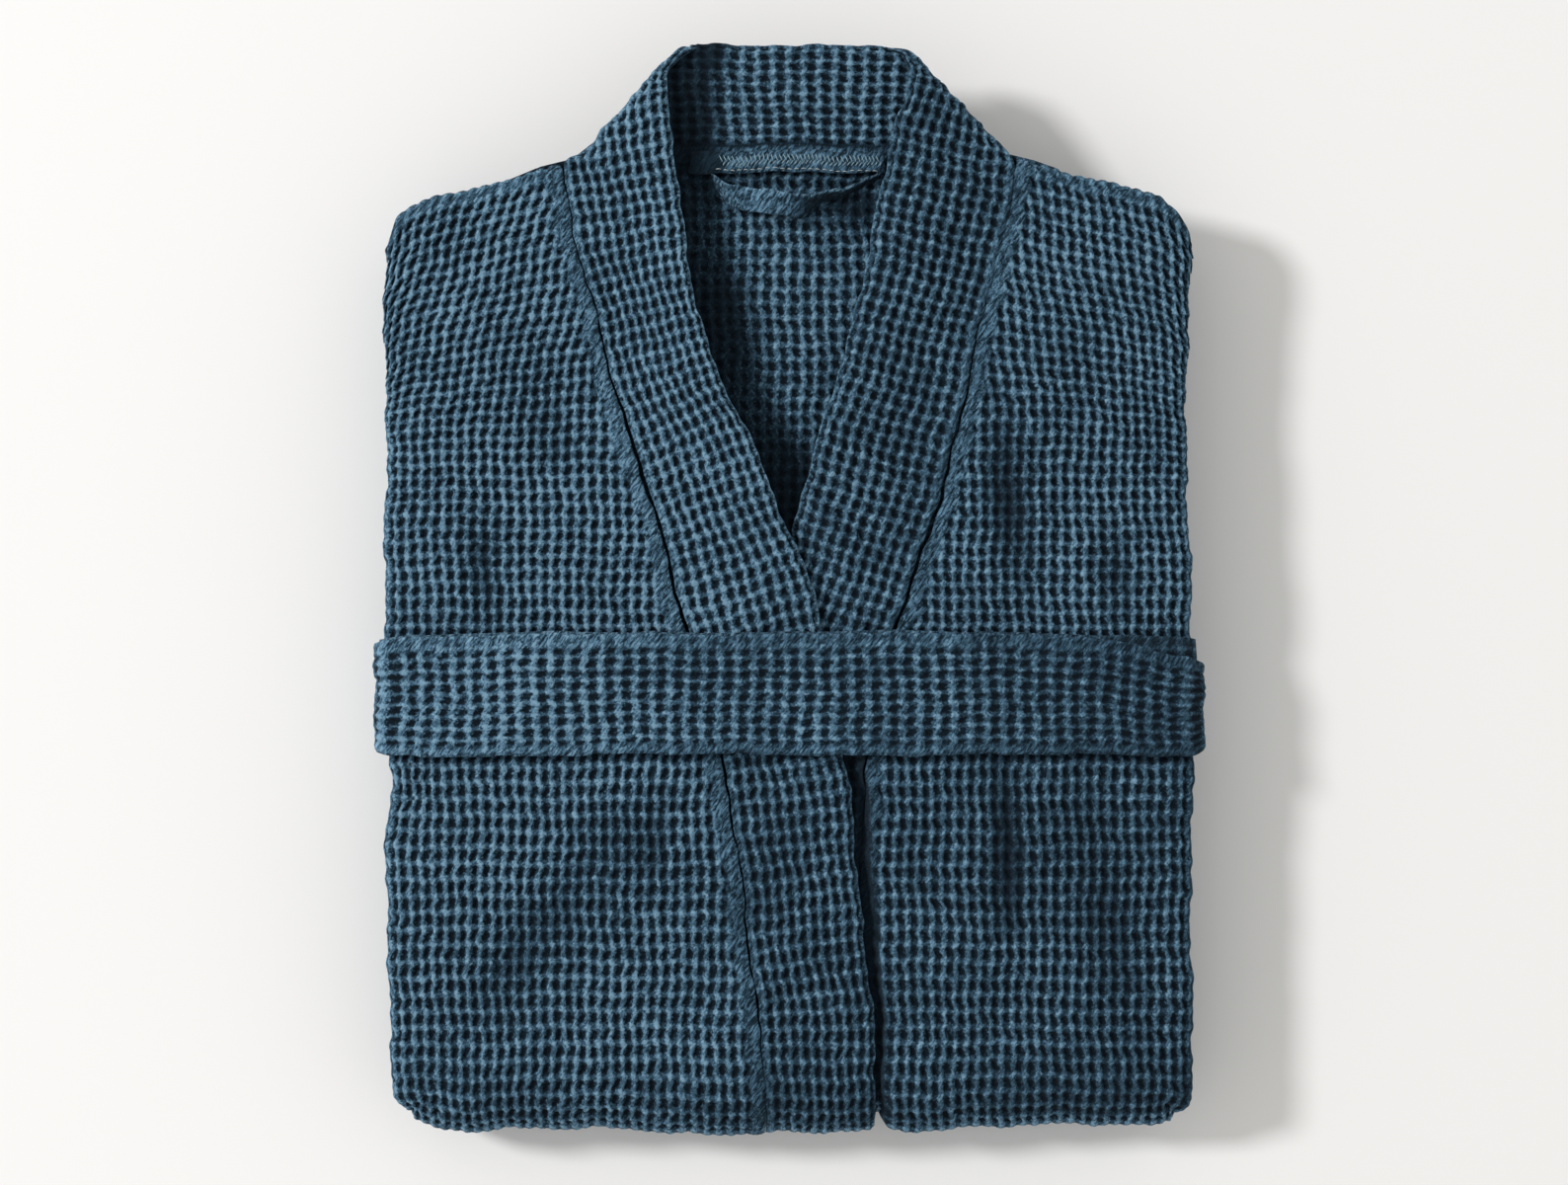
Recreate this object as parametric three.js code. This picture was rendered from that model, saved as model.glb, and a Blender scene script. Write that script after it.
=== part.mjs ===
// A waffle-weave bathrobe folded into a flat pack and wrapped twice with its own belt.
//
// Units are millimetres. +Z is up, +Y runs from the lower fold to the collar, and the origin
// is at the middle of the box's base. The robe lies on its back: the fronts face up. Its sides
// are folded behind it, and its length is folded twice, so the hem ends up inside the pack.
//
// Every panel is one sheet that follows the same folded route. A place in the sheet has an x, a
// row of the route, and a depth: how far it lies under the pack's outer surface at that row.
import * as THREE from 'three';

// Driving dimensions: cloth
const cloth = 2.7; // one layer of pressed waffle cloth
const doubled = 4.2; // the band's two pressed layers
const beltCloth = 2.6; // the belt's thickness
const gap = 0.3; // room between neighbouring layers

// Driving dimensions: the folded pack
const halfWidth = 176; // the pack's side folds
const sideFoldEnd = 55; // where the side seams lie after folding, from the middle
const lowerEnd = -236; // the fold across the skirt
const upperEnd = 170; // the fold under the shoulders
const hemLine = -195; // where the hem lies inside the pack
const shoulderY = 183; // the shoulder line beside the neck
const shoulderTipY = 158; // the shoulder line at the side fold
const foldedShoulderY = 155; // the top edge of the folded sides
const collarTop = 236; // the collar's free edge behind the neck

// Driving dimensions: belt
const beltUpper = -18.6;
const beltLower = -71;
const beltSlip = -1.8; // how far the outer turn sits below the inner one

// Driving dimensions: small pieces, as [x from, x to] on the left and [y from, y to]
const pocketCloth = 2.7;
const pocketX = [60, 143]; // from the open edge, round the side fold, to the hidden edge
const pocketY = [5, 150];
const sleeveX = [8, 172];
const sleeveY = [-145, 165];
const cuffEnd = -210;
const tapeX = [-43, 42];
const tapeY = [180.5, 190];
const loopX = [-36.5, 40.5]; // outer ends of the hanging loop
const loopTop = 180.2;
const loopLow = 161.5;
const loopWidth = 8;
const beltLoopX = [46.5, 54];
const beltLoopY = [-80, -10];

// Depths of the layers under the pack's outer surface
const backDepth = doubled + gap; // back panel
const backSideDepth = backDepth + cloth + gap; // back panel's folded sides
const frontSideDepth = backSideDepth + cloth + gap; // fronts' folded sides
const frontStack = frontSideDepth + cloth; // all of one folded portion of the body
const troughDepth = 2 * (doubled + gap); // back panel under both bands
const neckDepth = 6.5; // back panel at the neck seam
const sleeveDepth = frontStack + gap;
const sleeveThick = 2 * cloth + gap;
const hemDepth = sleeveDepth + sleeveThick + gap;
const stitchedDepth = 3; // the tape and the hanging loop
const beltLoopDepth = 11;

// Heights
const packBase = 2 * (beltCloth + gap); // underside where the belt passes
const pocketBase = pocketCloth + gap; // underside where the pockets lie
const slack = 0.9; // between the lower fold's layers
const packTop = packBase + 2 * frontStack + hemDepth + slack;
const lowerRadius = (packTop - packBase) / 2;
const upperRadius = (packTop - hemDepth - pocketBase) / 2;
const sideRadius = frontStack / 2;
const sideCentre = halfWidth - sideRadius;

const blue = 0x3f617b;
const deepBlue = 0x34536b;

const rad = THREE.MathUtils.degToRad;
const lerp = THREE.MathUtils.lerp;
const clamp = THREE.MathUtils.clamp;
const shapeOf = (points) => new THREE.Shape(points.map(([x, y]) => new THREE.Vector2(x, y)));

// Outlines of the bands, as [y, x] from the collar down. The wearer's right band lies on top.
const rightEdge = [[collarTop, -49], [180, -48], [105, -30], [25, 3], [-17, 15], [-75, 24], [-150, 32]];
const rightSeam = [[collarTop, -53], [shoulderY, -100], [114, -90], [33, -62], [-17, -47], [-75, -35],
  [-150, -20], [-190, -13]];
const leftEdge = [[collarTop, 53], [180, 44], [105, 28], [30, 3], [-17, -12], [-75, -20]];
const leftSeam = [[collarTop, 57], [shoulderY, 100], [127, 88], [54, 73], [15, 60], [-17, 46], [-75, 36]];

// A value along a list of [y, x] pairs, straight between them and level beyond the ends.
function along(points, y) {
  const next = points.findIndex((point) => point[0] <= y);
  if (next === 0) return points[0][1];
  if (next < 0) return points[points.length - 1][1];
  const [yA, xA] = points[next - 1];
  const [yB, xB] = points[next];
  return lerp(xA, xB, (yA - y) / (yA - yB));
}

// One row of the folded route. y and z are on the outer surface, inY and inZ point into the
// pack, and flatY is the height on the front that decides where the bands run.
const topRow = (y) => ({ y, z: packTop, inY: 0, inZ: -1, flatY: y });

function arcRows(centreY, centreZ, radius, from, to, steps) {
  const rows = [];
  for (let i = 0; i <= steps; i += 1) {
    const angle = rad(lerp(from, to, i / steps));
    rows.push({
      y: centreY + radius * Math.cos(angle),
      z: centreZ + radius * Math.sin(angle),
      inY: -Math.cos(angle),
      inZ: -Math.sin(angle),
      flatY: lowerEnd,
    });
  }
  return rows;
}

const collarRows = [collarTop - 1, 210, shoulderY].map(topRow);
const chestRows = [145, 114, 90, 65, 45, 28, 10, -17, -45, -75, -110, -150, -190].map(topRow);
const skirtRows = [
  ...arcRows(lowerEnd + lowerRadius, packBase + lowerRadius, lowerRadius, 90, 270, 8),
  { y: -15, z: packBase, inY: 0, inZ: 1, flatY: lowerEnd },
  { y: 5, z: pocketBase, inY: 0, inZ: 1, flatY: lowerEnd },
  ...arcRows(upperEnd - upperRadius, pocketBase + upperRadius, upperRadius, -90, 90, 6),
  { y: hemLine, z: packTop - hemDepth, inY: 0, inZ: -1, flatY: lowerEnd },
];

// The first row of a panel is its shoulder edge, which slopes down to the side fold.
function shoulderRow() {
  const slope = (x) => lerp(shoulderY, shoulderTipY, clamp((Math.abs(x) - 100) / (halfWidth - 100), 0, 1));
  const edge = (x, depth) => (depth > neckDepth + cloth ? foldedShoulderY : slope(x));
  return { ...topRow(shoulderY), edge };
}

const bandRows = [...collarRows, ...chestRows, ...skirtRows];
const panelRows = [shoulderRow(), ...chestRows, ...skirtRows];

function place(row, x, depth) {
  const y = row.edge ? row.edge(x, depth) : row.y;
  return [x, y + row.inY * depth, row.z + row.inZ * depth];
}

// A closed sheet from a grid of [outer point, inner point] pairs.
function sheet(name, grid, colour = blue) {
  const rows = grid.length;
  const columns = grid[0].length;
  const outer = (r, c) => 2 * (r * columns + c);
  const inner = (r, c) => outer(r, c) + 1;
  const positions = grid.flat(3);
  const faces = [];
  const quad = (a, b, c, d) => faces.push(a, b, c, a, c, d);
  for (let r = 0; r + 1 < rows; r += 1) {
    for (let c = 0; c + 1 < columns; c += 1) {
      quad(outer(r, c), outer(r + 1, c), outer(r + 1, c + 1), outer(r, c + 1));
      quad(inner(r, c), inner(r, c + 1), inner(r + 1, c + 1), inner(r + 1, c));
    }
    const last = columns - 1;
    quad(outer(r, 0), inner(r, 0), inner(r + 1, 0), outer(r + 1, 0));
    quad(outer(r, last), outer(r + 1, last), inner(r + 1, last), inner(r, last));
  }
  for (let c = 0; c + 1 < columns; c += 1) {
    const last = rows - 1;
    quad(outer(0, c), outer(0, c + 1), inner(0, c + 1), inner(0, c));
    quad(outer(last, c), inner(last, c), inner(last, c + 1), outer(last, c + 1));
  }
  if (signedVolume(positions, faces) < 0) faces.reverse();
  const geometry = new THREE.BufferGeometry();
  geometry.setAttribute('position', new THREE.Float32BufferAttribute(positions, 3));
  geometry.setIndex(faces);
  return part(name, geometry, colour);
}

function signedVolume(positions, faces) {
  const corner = (index) => new THREE.Vector3().fromArray(positions, 3 * index);
  let total = 0;
  for (let i = 0; i < faces.length; i += 3) {
    total += corner(faces[i]).dot(corner(faces[i + 1]).cross(corner(faces[i + 2])));
  }
  return total;
}

function part(name, geometry, colour = blue) {
  geometry.computeVertexNormals();
  const material = new THREE.MeshStandardMaterial({ color: colour, roughness: 0.95, metalness: 0 });
  const mesh = new THREE.Mesh(geometry, material);
  mesh.name = name;
  return mesh;
}

// A sheet over the given rows. strip(row) lists its columns as [x, depth, x, depth]: the outer
// surface, then the inner one.
function foldedSheet(name, rows, strip, colour) {
  const grid = rows.map((row) => strip(row).map(
    ([x, depth, innerX, innerDepth]) => [place(row, x, depth), place(row, innerX, innerDepth)],
  ));
  return sheet(name, grid, colour);
}

// Columns that turn round a side fold, from the face to the folded side behind it.
function turn(side, centreDepth, outerRadius, innerRadius) {
  const columns = [];
  for (const degrees of [-90, -60, -30, 0, 30, 60, 90]) {
    const cos = side * Math.cos(rad(degrees));
    const sin = Math.sin(rad(degrees));
    columns.push([
      side * sideCentre + outerRadius * cos, centreDepth + outerRadius * sin,
      side * sideCentre + innerRadius * cos, centreDepth + innerRadius * sin,
    ]);
  }
  return columns;
}

// The left front and its band pass under the right band: full depth under it, none beyond it.
const dipMargin = 11;
const dipRun = 12;
const dipStart = (row) => along(rightEdge, row.flatY) + dipMargin;
const dip = (row, x) => (doubled + gap) * clamp(1 - (x - dipStart(row)) / dipRun, 0, 1);

function frontPanel(name, side, seam, depthAt, extraColumns) {
  return foldedSheet(name, panelRows, (row) => {
    const start = along(seam, row.flatY) + side * gap;
    const face = [start, ...extraColumns(row, start)];
    return [
      ...face.map((x) => [x, depthAt(row, x), x, depthAt(row, x) + cloth]),
      ...turn(side, sideRadius, sideRadius, sideRadius - cloth),
      [side * sideFoldEnd, frontStack, side * sideFoldEnd, frontSideDepth],
    ];
  });
}

function frontBand(name, edge, seam, depthAt, columns) {
  return foldedSheet(name, bandRows, (row) => {
    const from = along(edge, row.flatY);
    const to = along(seam, row.flatY);
    return Array.from({ length: columns + 1 }, (_, i) => {
      const x = lerp(from, to, i / columns);
      return [x, depthAt(row, x), x, depthAt(row, x) + doubled];
    });
  });
}

// The back panel runs under the bands in a trough between the two folded sides.
const troughHalf = [40, 54]; // half widths of its floor and its mouth
const troughTop = 60; // above this y the trough rises towards the neck seam
function backPanel() {
  const backRadius = (backSideDepth + cloth - backDepth) / 2;
  const backCentre = backDepth + backRadius;
  const floorDepth = (row) => lerp(
    troughDepth,
    neckDepth,
    clamp((row.flatY - troughTop) / (shoulderY - troughTop), 0, 1),
  );
  const [floorHalf, mouthHalf] = troughHalf;
  return foldedSheet('back_panel', panelRows, (row) => {
    const sideColumns = (side) => [
      [side * mouthHalf, backDepth, side * mouthHalf, backDepth + cloth],
      ...turn(side, backCentre, backRadius, backRadius - cloth),
      [side * sideFoldEnd, backSideDepth + cloth, side * sideFoldEnd, backSideDepth],
    ];
    const deep = floorDepth(row);
    const middle = [-floorHalf, 0, floorHalf].map((x) => [x, deep, x, deep + cloth]);
    return [...sideColumns(-1).reverse(), ...middle, ...sideColumns(1)];
  }, deepBlue);
}

// A patch pocket lies on the outside of a front and turns round the side fold with it.
function pocket(name, side) {
  const reach = sideRadius + gap;
  const [openEdge, hiddenEdge] = pocketX.map((x) => side * x);
  const rows = pocketY.map((y) => ({ y, z: pocketBase, inY: 0, inZ: 1, flatY: lowerEnd }));
  return foldedSheet(name, rows, () => [
    [openEdge, -gap - pocketCloth, openEdge, -gap],
    ...turn(side, sideRadius, reach + pocketCloth, reach),
    [hiddenEdge, frontStack + gap + pocketCloth, hiddenEdge, frontStack + gap],
  ], deepBlue);
}

// A plate of even thickness from an outline in x and y. top is its depth under the pack's top.
function plate(name, outline, top, thick, colour) {
  const geometry = new THREE.ExtrudeGeometry(outline, {
    depth: thick, bevelEnabled: false, curveSegments: 10,
  });
  geometry.translate(0, 0, packTop - top - thick);
  return part(name, geometry, colour);
}

// A flattened tube of cloth that lies along y, with rounded sides.
function flatTube(name, side, fromY, toY) {
  const [near, far] = sleeveX;
  const radius = sleeveThick / 2;
  const shape = roundSlot(near, far, radius);
  shape.holes.push(roundSlot(near + cloth, far - cloth, gap / 2));
  const geometry = new THREE.ExtrudeGeometry(shape, {
    depth: fromY - toY, bevelEnabled: false, curveSegments: 4,
  });
  geometry.rotateX(Math.PI / 2);
  geometry.translate(side < 0 ? -near - far : 0, fromY, packTop - sleeveDepth - radius);
  return part(name, geometry, deepBlue);
}

function roundSlot(from, to, radius) {
  const shape = new THREE.Shape();
  shape.moveTo(from + radius, -radius);
  shape.lineTo(to - radius, -radius);
  shape.absarc(to - radius, 0, radius, -Math.PI / 2, Math.PI / 2, false);
  shape.lineTo(from + radius, radius);
  shape.absarc(from + radius, 0, radius, Math.PI / 2, 1.5 * Math.PI, false);
  return shape;
}

// The back of the collar lies past the neck seam. The bands fold over its sloping sides.
function collarNeck() {
  const seamY = shoulderY + gap;
  const outline = shapeOf([
    [rightSeam[1][1], seamY],
    [rightSeam[0][1], collarTop],
    [leftSeam[0][1], collarTop],
    [leftSeam[1][1], seamY],
  ]);
  return plate('collar_neck', outline, backDepth, doubled);
}

const rectangle = ([x0, x1], [y0, y1]) => shapeOf([[x0, y0], [x1, y0], [x1, y1], [x0, y1]]);

function neckTape() {
  return plate('neck_tape', rectangle(tapeX, tapeY), stitchedDepth, 1.2, deepBlue);
}

// The hanging loop hangs from the neck seam in a shallow bow: two ends and a sagging middle.
function hangingLoop() {
  const middleX = (loopX[0] + loopX[1]) / 2;
  const halfSpan = (loopX[1] - loopX[0]) / 2;
  const bow = (half, low) => (angle) => [
    middleX + half * Math.cos(angle),
    loopTop - (loopTop - low) * Math.sin(angle) ** 0.7,
  ];
  const steps = 16;
  const outerBow = bow(halfSpan, loopLow);
  const innerBow = bow(halfSpan - loopWidth, loopLow + loopWidth + 0.5);
  const points = [];
  for (let i = 0; i <= steps; i += 1) points.push(outerBow((Math.PI * i) / steps));
  for (let i = steps; i >= 0; i -= 1) points.push(innerBow((Math.PI * i) / steps));
  return plate('hanging_loop', shapeOf(points), stitchedDepth, 2);
}

// A belt loop is a narrow strip along a side seam at the waist.
function beltLoop(name, side) {
  return plate(name, rectangle(beltLoopX.map((x) => side * x), beltLoopY), beltLoopDepth, 1.6, deepBlue);
}

// The belt goes round the pack twice as one spiral. It starts and ends under the pack.
function belt() {
  const innerTurn = gap + beltCloth / 2;
  const outerTurn = innerTurn + gap + beltCloth;
  const under = (x, offset) => ({ x, z: packBase - offset, angle: rad(270) });
  const corner = (sideX, centreZ, from, offset) => [0, 30, 60, 90].map((step) => {
    const angle = rad(from + step);
    return {
      x: sideX * sideCentre + (sideRadius + offset) * Math.cos(angle),
      z: centreZ + (sideRadius + offset) * Math.sin(angle),
      angle,
    };
  });
  const round = (offset) => [
    ...corner(1, packBase + sideRadius, -90, offset),
    ...corner(1, packTop - sideRadius, 0, offset),
    ...corner(-1, packTop - sideRadius, 90, offset),
    ...corner(-1, packBase + sideRadius, 180, offset),
  ];
  const path = [
    under(0.5, innerTurn), ...round(innerTurn), under(-28, innerTurn),
    under(-3, outerTurn), ...round(outerTurn), under(-31, outerTurn),
  ];
  const firstOuter = path.length / 2;
  const half = beltCloth / 2;
  const grid = path.map(({ x, z, angle }, index) => {
    const slip = index < firstOuter ? 0 : beltSlip;
    const [nx, nz] = [Math.cos(angle), Math.sin(angle)];
    return [beltUpper, beltLower].map((y) => [
      [x + half * nx, y + slip, z + half * nz],
      [x - half * nx, y + slip, z - half * nz],
    ]);
  });
  return sheet('belt', grid, deepBlue);
}

const robe = new THREE.Group();
robe.add(
  backPanel(),
  frontPanel('front_panel_right', -1, rightSeam, () => 0, () => []),
  frontPanel('front_panel_left', 1, leftSeam, dip, (row, start) => (
    [dipStart(row), dipStart(row) + dipRun].map((x, i) => Math.max(x, start + 2 * (i + 1)))
  )),
  frontBand('front_band_right', rightEdge, rightSeam, () => 0, 1),
  frontBand('front_band_left', leftEdge, leftSeam, dip, 8),
  collarNeck(),
  neckTape(),
  hangingLoop(),
  flatTube('sleeve_right', -1, sleeveY[1], sleeveY[0]),
  flatTube('sleeve_left', 1, sleeveY[1], sleeveY[0]),
  flatTube('cuff_right', -1, sleeveY[0] - gap, cuffEnd),
  flatTube('cuff_left', 1, sleeveY[0] - gap, cuffEnd),
  pocket('pocket_right', -1),
  pocket('pocket_left', 1),
  beltLoop('belt_loop_right', -1),
  beltLoop('belt_loop_left', 1),
  belt(),
);

export default robe;
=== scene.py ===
# The looks of a waffle-weave bathrobe, folded into a flat pack and wrapped with its own belt.
#
# Lengths are in millimetres until a mesh is made, and every piece is in the frame of the CAD
# part. A place in a folded panel is (w, s, depth): w is the distance from the middle along the
# cloth, s the distance from the shoulder line along the cloth, and depth the distance under
# the pack's outer surface. The waffle's cells are real relief, sampled in step with the weave.
import math

import bpy
import numpy as np
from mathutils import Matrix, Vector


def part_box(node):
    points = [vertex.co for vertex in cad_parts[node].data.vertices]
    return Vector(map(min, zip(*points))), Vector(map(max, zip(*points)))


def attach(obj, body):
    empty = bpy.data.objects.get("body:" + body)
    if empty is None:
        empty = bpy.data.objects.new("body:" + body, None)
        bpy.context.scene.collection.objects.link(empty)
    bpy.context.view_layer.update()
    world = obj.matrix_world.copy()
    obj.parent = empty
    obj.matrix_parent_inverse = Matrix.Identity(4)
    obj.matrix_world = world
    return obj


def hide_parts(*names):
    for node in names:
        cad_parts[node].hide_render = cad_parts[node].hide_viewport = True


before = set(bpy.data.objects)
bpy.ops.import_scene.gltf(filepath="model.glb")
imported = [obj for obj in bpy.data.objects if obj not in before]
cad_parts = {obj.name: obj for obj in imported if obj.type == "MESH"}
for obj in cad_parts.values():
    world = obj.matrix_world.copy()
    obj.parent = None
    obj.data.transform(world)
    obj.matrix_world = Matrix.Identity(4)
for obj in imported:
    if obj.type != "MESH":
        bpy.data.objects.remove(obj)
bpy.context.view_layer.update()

MM = 0.001
PI = math.pi


def node_box(name):
    """A CAD node's lowest and highest corners, in millimetres."""
    low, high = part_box(name)
    return np.array(low) / MM, np.array(high) / MM


# ---- sizes, from the frame

RIGHT_LOW, RIGHT_HIGH = node_box("front_panel_right")
BELT_LOW, BELT_HIGH = node_box("belt")
TAPE_LOW, TAPE_HIGH = node_box("neck_tape")
LOOP_HIGH = node_box("hanging_loop")[1]
NECK_LOW, NECK_HIGH = node_box("collar_neck")
SLEEVE_LOW, SLEEVE_HIGH = node_box("sleeve_left")
CUFF_LOW, CUFF_HIGH = node_box("cuff_left")
POCKET_LOW, POCKET_HIGH = node_box("pocket_left")

HALF_WIDTH = -RIGHT_LOW[0]  # the pack's side folds
TOP = RIGHT_HIGH[2]  # the pack's upper surface
FLOOR_GAP = RIGHT_LOW[2]  # underside where the pockets lie
SHOULDER_Y = node_box("back_panel")[1][1]
COLLAR_TOP = NECK_HIGH[1]
LOWER_END = RIGHT_LOW[1]
UPPER_END = 170  # the fold behind the shoulders
HEM_DEPTH = 19.5  # the folded-in hem portion under the upper surface
BELT_CLOTH = 2.6
GAP = 0.3
UNDER_BELT = 2 * (BELT_CLOTH + GAP)  # underside where the belt passes
STACK = 13.2  # one folded portion: fronts and back, each twice

LOWER_RADIUS = (TOP - UNDER_BELT) / 2
UPPER_RADIUS = (TOP - HEM_DEPTH - FLOOR_GAP) / 2
LOWER_CENTRE = LOWER_END + LOWER_RADIUS
UPPER_CENTRE = UPPER_END - UPPER_RADIUS
SIDE_RADIUS = STACK / 2
SIDE_CENTRE = HALF_WIDTH - SIDE_RADIUS
HEM_Y = -195

TOP_RUN = SHOULDER_Y - LOWER_CENTRE
LOWER_RUN = PI * LOWER_RADIUS
UNDER_RUN = UPPER_CENTRE - LOWER_CENTRE
UPPER_RUN = PI * UPPER_RADIUS
HEM_RUN = UPPER_CENTRE - HEM_Y
LOWER_AT = TOP_RUN
UNDER_AT = LOWER_AT + LOWER_RUN
UPPER_AT = UNDER_AT + UNDER_RUN
HEM_AT = UPPER_AT + UPPER_RUN
LENGTH = HEM_AT + HEM_RUN
SIDE_RUN = PI * SIDE_RADIUS
SHOULDER_FADE = 150  # the shoulders' slope fades out over this length of cloth

SHOULDER_CORNER = 18  # radius of the pack's upper corners, seen from above
LOWER_CORNER = 17  # radius of the pack's lower corners, seen from above
SHOULDER_ROLL = 5.0  # radius of the shoulder edge, and of the collar beside the neck

# ---- cloth

CLOTH = 2.4  # one layer, pressed
THICK_CLOTH = 3.5  # one layer, ridges and pits
CELL_ACROSS = 5.15
CELL_TALL = 5.8
SAMPLES = 6  # mesh steps in one cell of the weave
RELIEF = 2.1  # from ridge to pit


def ramp(low, high, x):
    """0 below low, 1 above high, and smooth between."""
    t = np.clip((np.asarray(x, float) - low) / (high - low), 0, 1)
    return t * t * (3 - 2 * t)


def bell(x, reach):
    """1 at 0, and nearly 0 from twice the reach on."""
    return np.exp(-((x / reach) ** 2))


def vectors(*values):
    """Grids put together as one grid of vectors."""
    return np.stack(np.broadcast_arrays(*values), -1)


def smooth_line(points):
    """A smooth curve x(y) through [y, x] points, listed from the top down."""
    ys, xs = np.array(points, float)[::-1].T
    slopes = np.gradient(xs, ys)

    def curve(y):
        y = np.clip(y, ys[0], ys[-1])
        i = np.clip(np.searchsorted(ys, y) - 1, 0, len(ys) - 2)
        step = ys[i + 1] - ys[i]
        t = (y - ys[i]) / step
        start = (1 + 2 * t) * (1 - t) ** 2 * xs[i] + t * (1 - t) ** 2 * step * slopes[i]
        end = t * t * (3 - 2 * t) * xs[i + 1] + t * t * (t - 1) * step * slopes[i + 1]
        return start + end

    return curve


# Outlines of the bands on the upper surface, as [y, x]. The wearer's right band lies on top.
right_edge = smooth_line(
    [[236, -46], [218, -52], [201, -51], [183, -48.7], [157, -46], [132, -41], [109, -35.5], [88, -28.4],
     [69, -18.6], [34, -3.3], [-4, 11], [-75, 24.5], [-110, 28.5], [-150, 33], [-190, 36.5], [-236, 38]]
)
right_seam = smooth_line(
    [[236, -108], [183, -97.5], [150, -92], [114, -82], [70, -69.5], [33, -57], [-17, -43.5], [-75, -28],
     [-150, -17.5], [-190, -11.6], [-236, -10.5]]
)
left_edge = smooth_line(
    [[236, 50], [218, 52], [202, 47], [189, 43.7], [157, 37], [126, 30], [98, 22.5], [52, 9.2], [25, 2.5],
     [-17, -12], [-75, -20], [-236, -20]]
)
left_seam = smooth_line(
    [[236, 108], [183, 98], [146, 91.5], [126, 86], [102, 81], [57, 69.3], [35, 63], [-8, 49], [-75, 33],
     [-110, 31.5], [-236, 32]]
)
collar_side_right = smooth_line(
    [[236, -43], [230, -51.5], [215, -66.3], [201, -80.3], [189.5, -90], [184, -102]]
)
collar_side_left = smooth_line(
    [[236, 45], [233, 52], [226, 58.5], [209.5, 78], [195, 92], [188, 98.5], [183, 103]]
)


def flat_y(s):
    """Where s lies when the skirt isn't folded under: it decides where the bands run."""
    return np.maximum(SHOULDER_Y - s, LOWER_END)


# ---- the folded route


def route(s, depth):
    """y and z of a place on the folded route: the upper surface, round the lower end, under the
    pack, up behind the shoulders, and the hem portion back inside."""
    s, depth = np.broadcast_arrays(np.asarray(s, float), np.asarray(depth, float))
    low = (s - LOWER_AT) / LOWER_RADIUS
    high = (s - UPPER_AT) / UPPER_RADIUS
    under_y = LOWER_CENTRE + (s - UNDER_AT)
    underside = UNDER_BELT + (FLOOR_GAP - UNDER_BELT) * ramp(-15, 5, under_y)
    zones = [s < LOWER_AT, s < UNDER_AT, s < UPPER_AT, s < HEM_AT]
    ys = [
        SHOULDER_Y - s,
        LOWER_CENTRE - (LOWER_RADIUS - depth) * np.sin(low),
        under_y,
        UPPER_CENTRE + (UPPER_RADIUS - depth) * np.sin(high),
    ]
    zs = [
        TOP - depth,
        TOP - LOWER_RADIUS + (LOWER_RADIUS - depth) * np.cos(low),
        underside + depth,
        FLOOR_GAP + UPPER_RADIUS - (UPPER_RADIUS - depth) * np.cos(high),
    ]
    return np.select(zones, ys, UPPER_CENTRE - (s - HEM_AT)), np.select(zones, zs, TOP - HEM_DEPTH - depth)


def fold(side, w, depth, radius=SIDE_RADIUS):
    """x and depth of a place on a panel whose sides are folded behind it."""
    angle = np.clip((w - SIDE_CENTRE) / radius, 0, PI)
    behind = np.maximum(w - SIDE_CENTRE - PI * radius, 0)
    turned = radius - depth
    x = np.where(w < SIDE_CENTRE, w, SIDE_CENTRE + turned * np.sin(angle)) - behind
    d = np.where(w < SIDE_CENTRE, depth, radius - turned * np.cos(angle))
    return side * x, d


def doubled(c, radius, offset):
    """A strip folded in two along its edge. c is the distance along it from the edge. Returns
    the distance from the edge and the depth, offset into the cloth from its outer surface."""
    quarter = PI / 2 * radius
    angle = np.clip(c / radius, -PI / 2, PI / 2)
    away = radius - (radius - offset) * np.cos(angle) + np.maximum(np.abs(c) - quarter, 0)
    depth = radius - (radius - offset) * np.sin(angle)
    return away, depth


# Soft valleys on the upper surface: from (x, y) to (x, y), half width, depth.
VALLEYS = [
    ((92, 76), (98, 6), 9.5, 2.7),
    ((86, 104), (92, 76), 8, 1.0),
    ((93, -74), (96, -150), 7, 2.2),
    ((-137, 30), (-130, -14), 8, 2.2),
    ((138, 26), (143, -10), 8, 1.9),
    ((-60, -88), (-150, -196), 13, 1.5),
    ((-54, -94), (-66, -128), 9, 1.6),
    ((8, -96), (-48, -190), 9, 0.9),
    ((126, -96), (150, -190), 12, 1.0),
    ((-120, 120), (-96, 40), 12, 1.0),
    ((138, 128), (118, 60), 11, 0.9),
]


def valleys(x, y):
    """How deep the valleys are here, each deepest halfway along."""
    total = 0.0
    for (xa, ya), (xb, yb), half, deep in VALLEYS:
        along = ((x - xa) * (xb - xa) + (y - ya) * (yb - ya)) / ((xb - xa) ** 2 + (yb - ya) ** 2)
        t = np.clip(along, 0, 1)
        off = np.hypot(x - xa - t * (xb - xa), y - ya - t * (yb - ya))
        total = total + deep * (0.3 + 0.8 * np.sin(PI * t)) * bell(off, half)
    return total


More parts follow.
